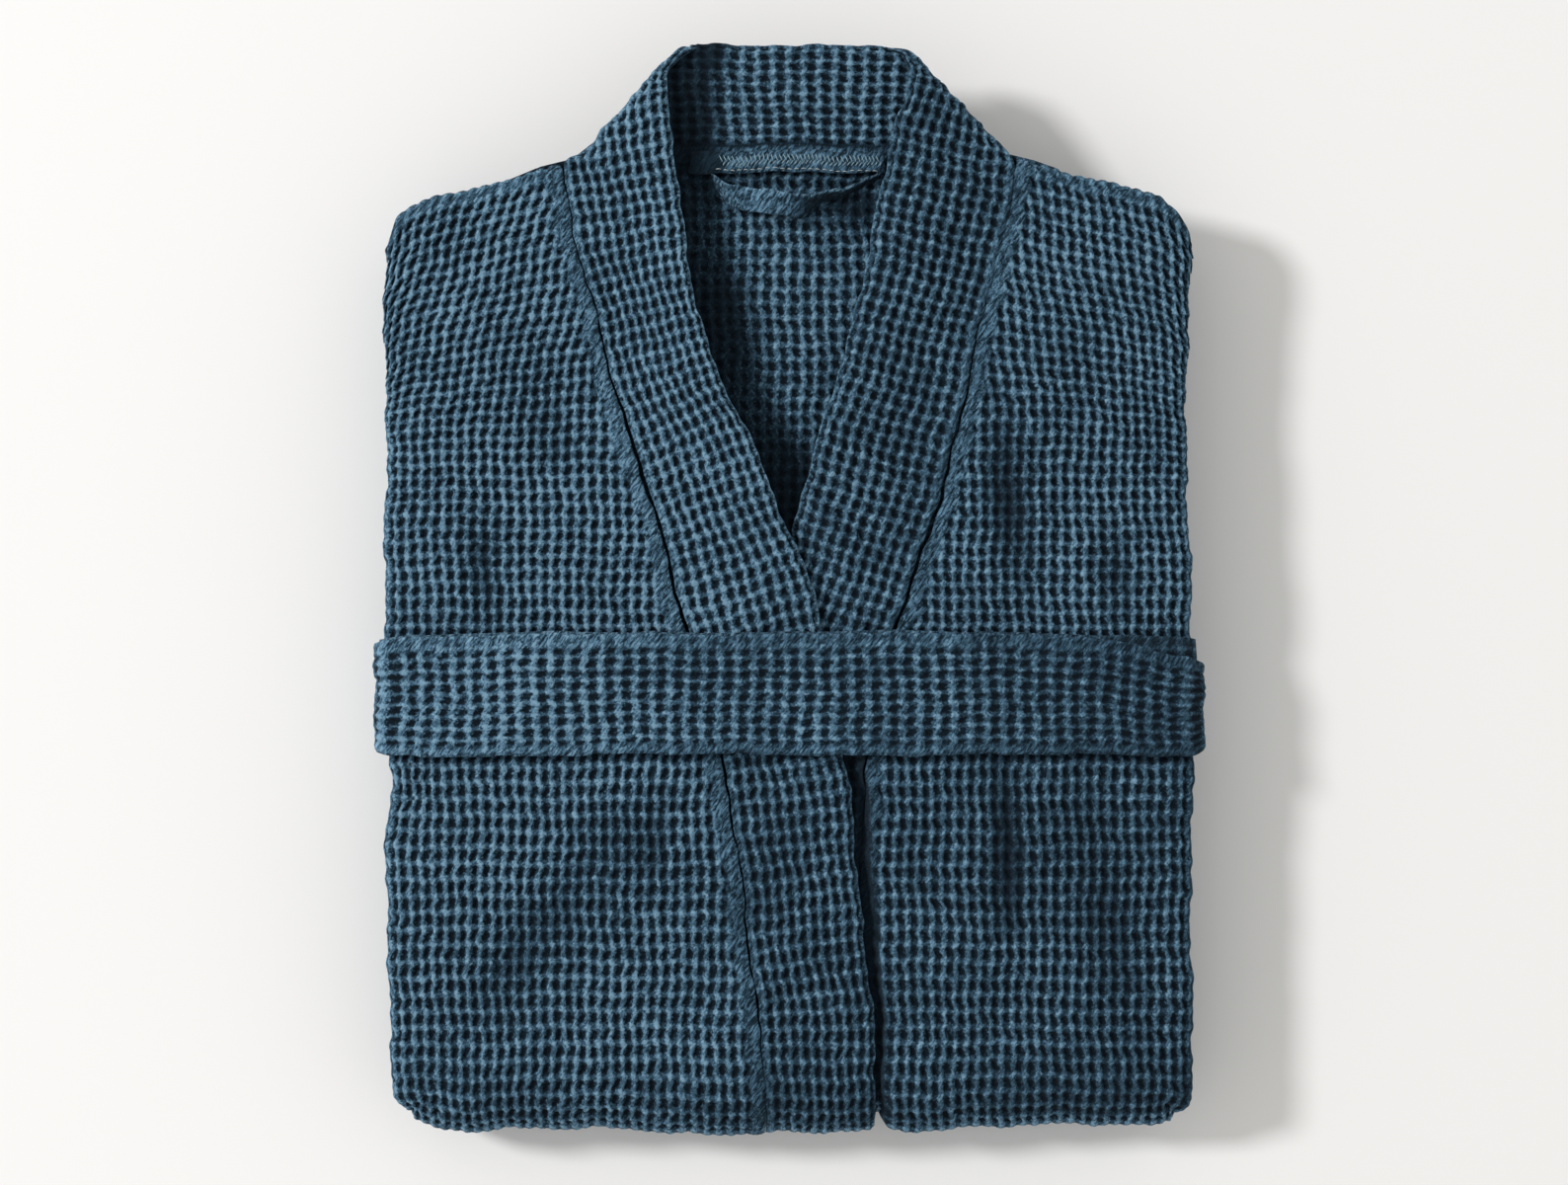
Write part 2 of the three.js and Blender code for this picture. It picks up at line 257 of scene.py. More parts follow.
# Slow waves as (height, x stretch, y stretch, start): the upper surface's rise and fall, and
# how the lattice strays in the plane, because ridges never run quite straight.
SWELL = [(0.9, 21, 34, 0.4), (0.75, 13, -27, 2.1), (0.45, 39, 11, 4.0)]
STRAY_X = [(0.55, 31, 7.4, 0.6), (0.55, -22, 16.7, 2.2), (0.3, 5.2, 2.9, 1.1), (0.22, -3.7, 1.9, 5.1)]
STRAY_Y = [(0.35, 8.1, -29, 1.7), (0.5, 26.3, 24, 0.2), (0.25, 3.3, 9, 3.0), (0.2, 2.1, -4.4, 0.4)]


def waves(terms, x, y):
    """The sum of such waves."""
    return sum(high * np.sin(x / wide + y / tall + start) for high, wide, tall, start in terms)


def settle(points):
    """The whole pack's soft shape: corners rounded, surface wavy, cloth strayed."""
    x, y, z = np.moveaxis(points, -1, 0).copy()
    share = np.clip(z / TOP, 0, 1.15)
    # the underside keeps inside the upper portion's sides
    x *= 1 - 0.024 * ramp(34, 18, z)
    # the belt pulls the wearer's right side in
    x += 3 * bell(y + 84, 19) * ramp(-150, -172, x) * (z < TOP)
    # the lower portions keep behind the shoulders
    over = np.maximum(UPPER_END - (SHOULDER_Y - shoulder_drop(x) - 4), 0)
    y -= over * ramp(80, UPPER_END, y) * ramp(44, 39, z)
    x, y = x + waves(STRAY_X, x, y), y + waves(STRAY_Y, x, y)
    # lower corners: a square's outline becomes a circle's
    corner_x, corner_y = HALF_WIDTH - LOWER_CORNER, LOWER_END + LOWER_CORNER
    a, b = np.abs(x) - corner_x, corner_y - y
    shrink = np.where((a > 0) & (b > 0), np.maximum(a, b) / np.maximum(np.hypot(a, b), 1e-6), 1)
    x = np.where(a > 0, np.sign(x) * (corner_x + a * shrink), x)
    y = np.where(b > 0, corner_y - b * shrink, y)
    # the lower corner at the wearer's right is drawn in, and so is the left side above the belt
    x += 3.2 * ramp(-130, -215, y) * ramp(-110, -175, x)
    x -= 2 * ramp(140, 176, x) * ramp(-10, 30, y) * ramp(150, 110, y)
    # the lower end sags towards its middle and is a little wavy
    near_end = ramp(-200, -230, y)
    sag = 1.6 * ramp(178, 130, np.abs(x)) + 0.9 * ramp(20, 60, x) + 2.8 * bell(x + 15, 48)
    y -= near_end * sag
    y += near_end * (0.8 * np.sin(x / 17 + 0.9) + 0.6 * np.sin(x / 6.3 + 2) + 1.6 * ramp(36, 42, x))
    # the surface
    crown = 2.6 * ramp(0.8 * HALF_WIDTH, HALF_WIDTH, np.abs(x)) + 1.5 * ramp(-190, -236, y)
    belt_dip = 1.3 * ramp(-2, -24, y) * ramp(-86, -66, y)
    z += share**2 * (waves(SWELL, x, y) - valleys(x, y) - crown - belt_dip)
    return np.stack([x, y, z], -1)


# ---- the weave's relief

PATTERN = (97, 101)  # the cells' chance differences repeat after this many
CELL_RANDOM = np.random.default_rng(7).random(PATTERN)
PLAIN_DEPTH = 0.25  # how far plain cloth lies under the ridges' tops, as a share of the relief
SWAY = 0.06  # of a cell


def cell_random(u, v):
    """A number of its own for each cell of the weave."""
    return CELL_RANDOM[np.floor(u).astype(int) % PATTERN[0], np.floor(v).astype(int) % PATTERN[1]]


def twisted(u, v):
    """The ridges along the cloth sway from one crossing to the next."""
    return u + SWAY * np.sin(2 * PI * v)


def ridges(u, v):
    """The height of the weave: 1 on its crossings, 0 at the bottom of a cell."""
    u = twisted(u, v)
    across = np.abs(2 * (u - np.floor(u)) - 1)
    along = np.abs(2 * (v - np.floor(v)) - 1)
    upright = ramp(0.3, 0.86, across) * (0.84 + 0.16 * along)
    level = ramp(0.42, 0.9, along) * (0.7 + 0.3 * across)
    return 1 - (1 - upright) * (1 - level)


def relief(u, v, plain, amount=RELIEF):
    """How far the surface lies under the ridges' tops."""
    deep = (1 - ridges(u, v)) * (0.86 + 0.34 * cell_random(u, v))
    return (1 - plain) * amount * deep + plain * PLAIN_DEPTH * amount


# ---- meshes


def block_quads(ids):
    """The quads of a whole grid of vertices."""
    return np.stack([ids[:-1, :-1], ids[1:, :-1], ids[1:, 1:], ids[:-1, 1:]], -1).reshape(-1, 4)


def strip_polygons(one, two, keys_one, keys_two, backwards):
    """Polygons between two rows of vertices, where one row's columns are among the other's."""
    shared = np.intersect1d(keys_one, keys_two)
    found = []
    for a, b in zip(shared[:-1], shared[1:]):
        first = one[(keys_one >= a) & (keys_one <= b)]
        second = two[(keys_two >= a) & (keys_two <= b)]
        polygon = [*first[::-1], *second]
        found.append(polygon[::-1] if backwards else polygon)
    return found


def shell(rows, columns, row_columns, inner_rows, inner_columns, ring):
    """Faces of a closed sheet over an outer and an inner grid, whose vertices are numbered one
    grid after the other. Rows with fewer columns join their neighbours by polygons."""
    ids = np.arange(rows * columns).reshape(rows, columns)
    quads, polygons, rims = [], [], []
    start = 0
    for r in range(1, rows + 1):
        if r < rows and np.array_equal(row_columns[r], row_columns[start]):
            continue
        quads.append(block_quads(ids[start:r][:, row_columns[start]]))
        if r < rows:
            one, two = row_columns[r - 1], row_columns[r]
            polygons += strip_polygons(ids[r - 1, one], ids[r, two], one, two, False)
        start = r
    inside = ids + rows * columns
    quads.append(block_quads(inside[np.ix_(inner_rows, inner_columns)])[:, ::-1])
    for r, kept, backwards in [(0, row_columns[0], True), (rows - 1, row_columns[-1], False)]:
        rims += strip_polygons(ids[r, kept], inside[r, inner_columns], kept, inner_columns, backwards)
    if not ring:
        all_rows = np.arange(rows)
        for c, backwards in [(0, False), (columns - 1, True)]:
            one, two = ids[:, c], inside[inner_rows, c]
            rims += strip_polygons(one, two, all_rows, inner_rows, backwards)
    return np.concatenate(quads), polygons, rims


SAME_PLACE = 0.002  # points nearer than this become one


def make_mesh(name, flat, quads, polygons, rims, weave, finish):
    """A Blender mesh in metres. Points in the same place become one, and faces that have
    shrunk to nothing go."""
    used = np.zeros(len(flat), bool)
    used[quads.ravel()] = True
    for polygon in polygons + rims:
        used[polygon] = True
    keys = np.round(flat[used] / SAME_PLACE).astype(np.int64)
    first, back = np.unique(keys, axis=0, return_index=True, return_inverse=True)[1:]
    where = np.flatnonzero(used)
    renumber = np.full(len(flat), -1)
    renumber[where] = back.ravel()
    kept = where[first]

    quads = renumber[quads]
    same = quads == np.roll(quads, -1, 1)
    crossed = (quads[:, 0] == quads[:, 2]) | (quads[:, 1] == quads[:, 3])
    whole = quads[~same.any(1) & ~crossed]
    pinched = quads[(same.sum(1) == 1) & ~crossed]
    twice = np.argmax(pinched == np.roll(pinched, -1, 1), 1)
    triangles = pinched[np.arange(len(pinched))[:, None], (twice[:, None] + [1, 2, 3]) % 4]

    def tidy(found):
        """Polygons in the new numbers, without the corners that have become one."""
        made = []
        for polygon in found:
            ids = renumber[polygon]
            ids = ids[ids != np.roll(ids, 1)]
            if len(ids) > 2 and len(set(ids.tolist())) == len(ids):
                made.append(ids)
        return made

    others, edges = tidy(polygons), tidy(rims)
    sizes = [4] * len(whole) + [3] * len(triangles) + [len(ids) for ids in others + edges]
    sizes = np.array(sizes, np.int32)
    corners = np.concatenate([whole.ravel(), triangles.ravel(), *others, *edges]).astype(np.int32)
    mesh = bpy.data.meshes.new(name)
    mesh.vertices.add(len(kept))
    mesh.vertices.foreach_set("co", (flat[kept] * MM).ravel().astype(np.float32))
    mesh.loops.add(len(corners))
    mesh.loops.foreach_set("vertex_index", corners)
    mesh.polygons.add(len(sizes))
    mesh.polygons.foreach_set("loop_start", np.concatenate([[0], np.cumsum(sizes)[:-1]]).astype(np.int32))
    mesh.polygons.foreach_set("loop_total", sizes)
    mesh.polygons.foreach_set("use_smooth", np.arange(len(sizes)) < len(sizes) - len(edges))
    # finish holds how hidden the cloth is, its painted shade and its dark seams
    for title, values in (("weave", weave), ("finish", finish)):
        attribute = mesh.attributes.new(title, "FLOAT_VECTOR", "POINT")
        attribute.data.foreach_set("vector", values[kept].ravel().astype(np.float32))
    mesh.update(calc_edges=True)
    mesh.validate(verbose=False)
    return mesh


def add_object(name, data):
    """A new object in the scene."""
    made = bpy.data.objects.new(name, data)
    bpy.context.scene.collection.objects.link(made)
    return made


def signed_volume(mesh):
    """Negative when the faces point inwards."""
    mesh.calc_loop_triangles()
    points = np.zeros(len(mesh.vertices) * 3, np.float32)
    mesh.vertices.foreach_get("co", points)
    corners = np.zeros(len(mesh.loop_triangles) * 3, np.int32)
    mesh.loop_triangles.foreach_get("vertices", corners)
    a, b, c = points.reshape(-1, 3)[corners.reshape(-1, 3)].transpose(1, 0, 2)
    return float((a * np.cross(b, c)).sum() / 6)


def add_piece(name, mesh, body, material):
    """A Blender object with its body and material."""
    if signed_volume(mesh) < 0:
        mesh.flip_normals()
    piece = add_object(name, mesh)
    mesh.materials.append(material)
    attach(piece, body)
    return piece


# pieces in the neck, which get the right collar's painted shadow
INSIDE_NECK = ("back_panel", "collar_neck", "neck_tape", "hanging_loop")
# painted shade on whole pieces: the wearer's left band, away from the light, and pieces in the neck
PIECE_PAINTED_SHADE = {"front_band_left": 0.19, "neck_tape": 0.14, "collar_neck": 0.06, "hanging_loop": 0.06}
# strength of the right collar's painted shadow in the neck, and on the hanging loop
NECK_PAINTED_SHADOW, LOOP_PAINTED_SHADOW = 0.85, 0.5  # under the wearer's right collar


def painted_shade(node, x, y):
    """How much painted shade darkens the cloth here: in the valleys, along the belt's lower edge,
    towards the wearer's left and the lower end, and in the neck, under the wearer's right collar's
    and the hanging loop's painted shadows. On the belt it is painted light at its left end and
    painted shade towards its right end."""
    if node == "belt":
        # painted light on the belt's left end, painted shade towards its right end
        return -0.12 + 0.36 * ramp(-140, -20, x) + 0.24 * ramp(40, 178, x)
    # painted shade on the wearer's left, the side away from the light, on its folded edge, along the belt's
    # lower edge, over the skirt and at the lower end
    left_side, left_fold = ramp(-60, 170, x), ramp(164, 181, x)
    under_belt = ramp(-79, -73.5, y) * ramp(-60, -66, y)
    skirt, lower_end = ramp(-60, -90, y), ramp(-196, -228, y)
    # painted shade in the valleys, as strong as they are deep
    shade = PIECE_PAINTED_SHADE.get(node, 0) + 0.2 * valleys(x, y)
    shade = shade + 0.15 * left_side + 0.2 * left_fold + 0.26 * under_belt + 0.16 * lower_end
    shade = shade + (0.11 + 0.07 * ramp(-60, 60, x)) * skirt
    if node == "front_band_right":
        shade = shade + 0.1 * skirt
    if node in INSIDE_NECK:
        # painted shadow of the wearer's right collar's raised edge, and painted shade deep in the neck's
        # point
        strength = LOOP_PAINTED_SHADOW if node == "hanging_loop" else NECK_PAINTED_SHADOW
        from_collar = x - right_edge(y)
        neck_point = ramp(90, 30, y)
        shade = shade + strength * (1 - ramp(11, 30 * strength + 4, from_collar)) + 0.35 * neck_point
    if node == "back_panel":
        # painted shade over the whole inner back, and the hanging loop's painted shadow on it
        shade = shade + 0.26 + 0.85 * bell(x - 28, 17) * bell(y - 165, 8)
    return shade


def every(count, step):
    """0, step, 2 step ... and the last index."""
    return np.unique(np.append(np.arange(0, count, step), count - 1))


def sheet_piece(
    node, outer, inner, weave, finish, inner_step, material,
    coarse=None, fine=None, inner_columns=None, ring=False, body="robe",
):
    """A closed sheet of cloth that stands for a CAD node.

    weave is the lattice's u and v and how plain the cloth is. finish is how hidden it is, how much
    painted shade it carries and how dark with seams it is. Rows that aren't fine keep only the
    coarse columns. The inner surface keeps every inner_step-th row and the inner columns, or else
    the coarse ones."""
    name = f"{node}_cloth"
    rows, columns = outer.shape[:2]
    whole = np.arange(columns)
    row_columns = [whole if fine is None or fine[r] else coarse for r in range(rows)]
    inner_columns = coarse if inner_columns is None else inner_columns
    quads, polygons, rims = shell(rows, columns, row_columns, every(rows, inner_step), inner_columns, ring)
    outer, inner = settle(outer), settle(inner)
    x, y, z = np.moveaxis(outer, -1, 0)
    u, v, plain = weave
    lattice = vectors(twisted(u, v), v, plain).reshape(-1, 3)
    hidden, shade, seam = finish
    # painted shade, only on the pack's upper surface
    shade = shade + painted_shade(node, x, y) * ramp(TOP - 14, TOP - 8, z)
    face = vectors(hidden, np.clip(shade, -0.4, 0.8), seam).reshape(-1, 3)
    mesh = make_mesh(
        name,
        np.concatenate([outer.reshape(-1, 3), inner.reshape(-1, 3)]),
        quads,
        polygons,
        rims,
        weave=np.concatenate([lattice, lattice]),
        finish=np.concatenate([face, face * [0, 1, 1] + [1, 0, 0]]),
    )
    piece = add_piece(name, mesh, body, material)
    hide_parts(node)
    return piece


# ---- rows of the weave


def cell_height(s):
    """The cells are taller below the waist."""
    return CELL_TALL + 1.3 * ramp(150, 260, s)


def row_places(start, end):
    """The rows' s from start to end, a fixed number to each cell, and each row's cell count."""
    step = 0.5
    s = np.arange(start, end + step, step)
    cells = np.concatenate([[0], np.cumsum(step / cell_height(s[:-1] + step / 2))])
    count = int(cells[-1] * SAMPLES)
    v = np.arange(count + 1) / SAMPLES
    return np.interp(v, cells, s), v


COARSE_STEP = 3  # fine rows to one coarse row, in the hidden portions


def thin_rows(s, v):
    """Fewer rows where the cloth is inside the pack."""
    fine = (s <= UNDER_AT + 12) | ((s >= UPPER_AT - 8) & (s <= HEM_AT + 6))
    kept = fine | (np.arange(len(s)) % COARSE_STEP == 0)
    kept[0] = kept[-1] = True
    return s[kept], v[kept], fine[kept]


# ---- panels

PLAIN = 8  # width of the plain strip beside a band's seam


def shoulder_drop(x):
    """The shoulder line slopes down beyond the neck and is rounded at its end."""
    far = np.abs(x)
    slope = 23 * np.clip((far - 90) / (HALF_WIDTH - 90), 0, 1) - 4.5
    over = np.clip(far - (HALF_WIDTH - SHOULDER_CORNER), 0, SHOULDER_CORNER)
    left_lift = 3 * ramp(60, 95, x) * (1 - 0.4 * ramp(160, 180, x))
    return slope - left_lift + SHOULDER_CORNER - np.sqrt(SHOULDER_CORNER**2 - over**2)


def panel_point(side, w, s, depth, base_depth):
    """A place on a front panel. Its start rolls over the shoulder's edge; below, it follows the route."""
    x, d = fold(side, w, depth + base_depth)
    roll = SHOULDER_ROLL - 2.2 * ramp(SIDE_CENTRE, SIDE_CENTRE + SIDE_RUN / 2, w)
    angle = np.clip(-s / roll, 0, 2.2)
    fade = 1 - ramp(0, SHOULDER_FADE, s)
    y, z = route(np.maximum(s, 0) + SHOULDER_ROLL, d)
    inward = np.where(w < SIDE_CENTRE + SIDE_RUN / 2, 1, -1)
    y = y - shoulder_drop(x) * fade
    rolled = s < 0
    turned = roll - depth
    y = np.where(rolled, SHOULDER_Y - SHOULDER_ROLL - shoulder_drop(x) + turned * np.sin(angle), y)
    dip = (roll - turned * np.cos(angle)) - depth
    z = np.where(rolled, TOP - d - inward * dip, z)
    return vectors(x, y, z)


def groove(distance, reach, deep):
    """The dent along a seam."""
    return deep * bell(distance, reach)


def front_panel(hand, side, seam, extra_depth, shaded, material):
    """One front of the robe, from its band's seam round the side to behind the pack."""
    s, v, fine = thin_rows(*row_places(-2 * SHOULDER_ROLL, LENGTH - SHOULDER_ROLL))
    nearest = 10.0  # every column nearer the middle than the seam is moved out to it
    turned = SIDE_CENTRE + SIDE_RUN
    face_w = np.arange(nearest, turned, CELL_ACROSS / SAMPLES)
    w = np.concatenate([face_w, np.linspace(turned + 4, turned + SIDE_CENTRE - 55, 6)])
    W, S = np.meshgrid(w, s)
    V = v[:, None]
    up = np.maximum(105 - S, 0)
    slant = 0.26 if side < 0 else 0.15  # how much the ridges lean, towards the shoulder
    U = (W + slant * up**2 / (up + 40)) / CELL_ACROSS
    edge = side * seam(flat_y(s))[:, None] + 0.2
    W = np.maximum(W, edge)
    distance = W - edge
    ragged = 1.3 * np.sin(S / 1.9 + 1.1 * np.sin(S / 4.1))
    plain = 1 - ramp(PLAIN - 2.6, PLAIN - 0.4, distance + ragged)
    shoulder = 1 - ramp(0.5, 4.5, S + 0.6 * np.sin(W / 3.1))
    plain = np.maximum(plain, 0.6 * shoulder)
    puff = 0.5 * np.sin(PI * np.clip(distance / PLAIN, 0, 1))
    twist = 0.35 * np.sin(2 * PI * (S / 2.6 + distance / 3.4 + 0.3 * np.sin(S / 7)))
    down = relief(U, V, plain) - (puff + twist) * plain * (distance < PLAIN + 2)
    down = down + groove(distance, 0.8, 0.25) + groove(S - 5.5, 0.9, 0.6)
    base = extra_depth(W, S)
    thick = np.where(fine[:, None] & (W < SIDE_CENTRE), THICK_CLOTH, CLOTH)
    inner_w = np.minimum(np.maximum(W, edge + 0.5), w[-1])
    bend = len(face_w) - 30  # the columns from here on turn round the side
    coarse = np.unique([*range(0, bend, 18), *range(bend, len(face_w), 2), *range(len(face_w) - 1, len(w))])
    piece = sheet_piece(
        f"front_panel_{hand}",
        outer=panel_point(side, W, S, down, base),
        inner=panel_point(side, inner_w, S, thick, base),
        weave=(U, V, plain),
        finish=(ramp(turned - 2, turned, W), shaded(W, flat_y(S)), 0.2 * bell(distance, 0.7)),
        inner_step=9,
        material=material,
        coarse=coarse,
        fine=fine,
        inner_columns=np.unique([*range(0, bend, 8), *coarse[coarse >= bend][::2], len(w) - 1]),
    )


# ---- bands

BAND_RADIUS = 2.7  # the band is folded in two along its free edge
BAND_CLOTH = 2.55
BAND_CELLS = 10.5  # cells across one band
BAND_NOMINAL = 53  # the band's width, which its outlines stretch or narrow
BAND_RAISE = 9  # how far the bands' free edges stand up beside the neck
NECK_LEAN = 0.748  # cosine of the collar's slope beside the neck
LEAN_STEPS = 3  # rounds of correction


def band_wall(y):
    """Where the left front rises beside the right band's free edge, below the belt."""
    return 8 - 3.5 * ramp(-80, -230, y)


def under_right_band(x, y):
    """Extra depth of the left front where the right band lies on it."""
    gone = x - right_edge(y)
    above = 5.6 * (1 - ramp(5, 18, gone))
    wall = band_wall(y)
    below = 7.2 * (1 - ramp(wall - 3, wall + 1.5, gone))
    share = ramp(-22, -58, y)
    return above * (1 - share) + below * share


def valley_painted_shade(x, y):
    """How much painted shade darkens the left front beside the right band's free edge, below the belt."""
    wall = band_wall(y)
    return 0.75 * (1 - ramp(wall - 2, wall + 2, x - right_edge(y))) * ramp(-20, -60, y)


def band(hand, side, edge, seam, collar_side, extra_depth, shaded, material):
    """One front band, which is the collar further up: two layers, folded at the free edge."""
    start = SHOULDER_Y - COLLAR_TOP + 0.6
    s, v, fine = thin_rows(*row_places(start, LENGTH))
    pitch = BAND_NOMINAL / BAND_CELLS
    quarter = PI / 2 * BAND_RADIUS
    under_c = -np.linspace(BAND_NOMINAL, quarter + 3, 8)
    c = np.concatenate([under_c, np.arange(-quarter, BAND_NOMINAL, pitch / SAMPLES)])
    C, S = np.meshgrid(c, s)
    U, V = C / pitch, v[:, None]

    def place(offset):
        away, depth = doubled(C, BAND_RADIUS, offset)
        share = away / (away.max() - 0.01)
        y_mid = flat_y(S)
        middle = (edge(y_mid) + seam(y_mid)) / 2
        lean = (edge(y_mid + 4) + seam(y_mid + 4) - edge(y_mid - 4) - seam(y_mid - 4)) / 16
        lean = lean * (1 - ramp(LOWER_AT - 40, LOWER_AT - 10, S))
        x = edge(y_mid) + (seam(y_mid) - edge(y_mid)) * share
        # the rows stand square to the band, so each place is found in a few steps
        for _ in range(LEAN_STEPS):
            moved = S + lean * (x - middle)
            y_here = np.where(moved < LOWER_AT, SHOULDER_Y - moved, LOWER_END)
            x = edge(y_here) + (seam(y_here) - edge(y_here)) * share
        moved = np.clip(moved, start - 3, LENGTH)
        # the collar's outer part rolls over beside the neck
        inside = side * (collar_side(y_here) - x) * NECK_LEAN + 2 * np.maximum(SHOULDER_Y - y_here, 0)
        turn = np.clip((SHOULDER_ROLL - inside) / SHOULDER_ROLL, 0, 2.0)
        left = SHOULDER_ROLL - depth
        rolled = SHOULDER_ROLL - left * np.sin(turn)
        x = np.where(turn > 0, x + side * (inside - rolled) / NECK_LEAN, x)
        depth = np.where(turn > 0, SHOULDER_ROLL - left * np.cos(turn), depth)
        raised = BAND_RAISE * (1 - ramp(0.05, 0.85, share)) * ramp(18, 70, y_here) * (moved < LOWER_AT)
        tucked = 4.5 * ramp(COLLAR_TOP - 6, COLLAR_TOP, y_here) ** 2
        depth = depth + extra_depth(x, y_here) - raised + tucked
        y, z = route(moved, depth)
        return vectors(x, y, z)

    to_seam = np.maximum(BAND_NOMINAL - C, 0)
    plain = 1 - ramp(0.6, 2.2, to_seam)
    down = np.minimum(relief(U, V, plain), 2.4) * ramp(-0.8, 1.5, C) + groove(to_seam, 0.8, 0.25)
    outer = place(np.minimum(down, 2.5))
    piece = sheet_piece(
        f"front_band_{hand}",
        outer,
        place(BAND_CLOTH),
        weave=(U, V, plain),
        finish=(1 - ramp(-2, 0, C), shaded(outer[..., 0], outer[..., 1]), 0.15 * bell(to_seam, 0.8)),
        inner_step=12,
        material=material,
        coarse=np.unique([*range(len(under_c)), *range(len(under_c), len(c), 8), len(c) - 1]),
        fine=fine,
    )


# ---- back panel

BACK_RADIUS = 2.85
BACK_CELL = 5.6
BACK_SHOWN = 178  # the cloth seen in the neck ends here, along s


def back_panel(material):
    """The robe's back, between the two fronts: only its middle shows, inside the neck."""
    s, v = row_places(-3, LENGTH - 2)
    keep = (s < BACK_SHOWN) | (np.arange(len(s)) % 5 == 0)
    keep[-1] = True
    s, v = s[keep], v[keep]
    fine = s < BACK_SHOWN
    fine_w = np.arange(-54, 54.1, BACK_CELL / SAMPLES)
    turn_w = SIDE_CENTRE + np.linspace(0, PI * BACK_RADIUS, 7)
    behind_w = turn_w[-1] + np.array([10, 60, 114])
    far_w = np.concatenate([np.linspace(62, SIDE_CENTRE - 8, 12), turn_w, behind_w])
    w = np.concatenate([-far_w[::-1], fine_w, far_w])
    W, S = np.meshgrid(w, s)
    U, V = W / BACK_CELL, v[:, None]
    side = np.where(W < 0, -1, 1)
    middle = 10.2 - 1.4 * ramp(150, 180, SHOULDER_Y - S)
    deep = np.where(S < LOWER_AT, middle, 9.0)
    base = 4.6 + (deep - 4.6) * (1 - ramp(38, 56, np.abs(W)))
    seen = 1 - ramp(46, 52, np.abs(W))

    def place(offset):
        x, d = fold(side, np.abs(W), offset, BACK_RADIUS)
        y, z = route(S, d + base)
        further = 2.5 * ramp(56, 70, np.abs(x)) + 7.5 * ramp(112, 130, np.abs(x))
        y = y - (shoulder_drop(x) + further) * (1 - ramp(0, SHOULDER_FADE, S))
        return vectors(x, y, z)

    n_far = len(far_w)
    n_near = len(w) - n_far
    piece = sheet_piece(
        "back_panel",
        outer=place(relief(U, V, 0, 1.9) * seen * (S < BACK_SHOWN)),
        inner=place(np.where(fine[:, None], 2.9, CLOTH)),
        weave=(U, V, 0),
        finish=(1 - seen, 0, 0),
        inner_step=9,
        material=material,
        coarse=np.unique([*range(n_far), *range(n_far, n_near, 12), *range(n_near - 1, len(w))]),
        fine=fine,
    )


# ---- back of the collar


def collar_neck(material):
    """The collar behind the neck: two layers that stand up a little, folded at the top."""
    tall, wide = 4.6, 6.5
    height = COLLAR_TOP - NECK_LOW[1]
    quarter = PI / 2 * BAND_RADIUS
    top_c = np.arange(-quarter, height, tall / SAMPLES)[::-1]
    c = np.concatenate([top_c, -np.linspace(quarter + 4, height, 7)])
    x_all = np.concatenate([[-100, -80], np.arange(-66, 70, wide / SAMPLES), [84, 100]])
    X, C = np.meshgrid(x_all, c)
    U, V = X / wide, C / tall
    plain = 1 - ramp(0.5, 2.5, height - C - 7)

    def place(offset):
        away, depth = doubled(C, BAND_RADIUS, offset)
        y = COLLAR_TOP - away
        x = np.clip(X, collar_side_right(y) + 4, collar_side_left(y) - 4)
        stand = 7.5 * ramp(190, 230, y)
        return vectors(x, y, TOP - 5.4 - depth + stand)

    # a groove above the tape, with the same mask painted dark in the seam channel as the groove's shade
    above_tape = 0.9 * bell(COLLAR_TOP - C - TAPE_HIGH[1] - 1.2, 0.8)
    piece = sheet_piece(
        "collar_neck",
        outer=place(relief(U, V, plain) * ramp(-0.8, 1.5, C) + 0.8 * above_tape),
        inner=place(BAND_CLOTH),
        weave=(U, V, plain),
        finish=(1 - ramp(-2, 0, C), 0, above_tape),
        inner_step=8,
        material=material,
        coarse=every(len(x_all), 8),
        fine=c > -quarter - 1,
    )


# ---- sleeves, pockets and strips


def flat_tube(node, side, low, high, material, cuff):
    """A sleeve or cuff: a tube of cloth pressed flat, lying along the robe inside the pack."""
    middle, half = (high[2] + low[2]) / 2, (high[2] - low[2]) / 2
    near, far = low[0] + half, high[0] - half
    run, bend = far - near, PI * half
    across, round_end = np.linspace(0, run, 14)[:-1], np.linspace(0, bend, 9)
    steps = np.concatenate([across, run + round_end[:-1], run + bend + across, 2 * run + bend + round_end])
    P, Y = np.meshgrid(steps, np.arange(high[1], low[1] - 0.1, -1.8))

    def place(offset):
        radius = half - offset
        one = np.clip((P - run) / half, 0, PI)
        two = np.clip((P - 2 * run - bend) / half, 0, PI)
        x = np.where(P < run + bend, np.minimum(near + P, far), np.maximum(far - (P - run - bend), near))
        x = x + radius * np.sin(one) - radius * np.sin(two)
        z = middle + radius * np.cos(one + two)
        if cuff:
            return vectors(side * x, Y, z)
        # a sleeve's upper end keeps under the shoulder
        shoulder = SHOULDER_Y - shoulder_drop(x) - 12
        lowered = ramp(high[1] - 70, high[1], Y) * np.maximum(high[1] - shoulder, 0)
        return vectors(side * x, Y - lowered, z)

    U, V = P / CELL_ACROSS, Y / CELL_TALL
    plain = np.maximum(1 - ramp(6, 8, high[1] - Y), 1 - ramp(6, 8, Y - low[1])) if cuff else 0 * U
    woven = ramp(run - 1, run + 1, P) * (1 - ramp(run + bend - 1, run + bend + 1, P))
    piece = sheet_piece(
        node,
        outer=place(relief(U, V, plain, 1.0) * woven),
        inner=place(CLOTH),
        weave=(U, V, plain),
        finish=(1, 0, 0),
        inner_step=6,
        material=material,
        inner_columns=every(len(steps), 2),
        ring=True,
    )


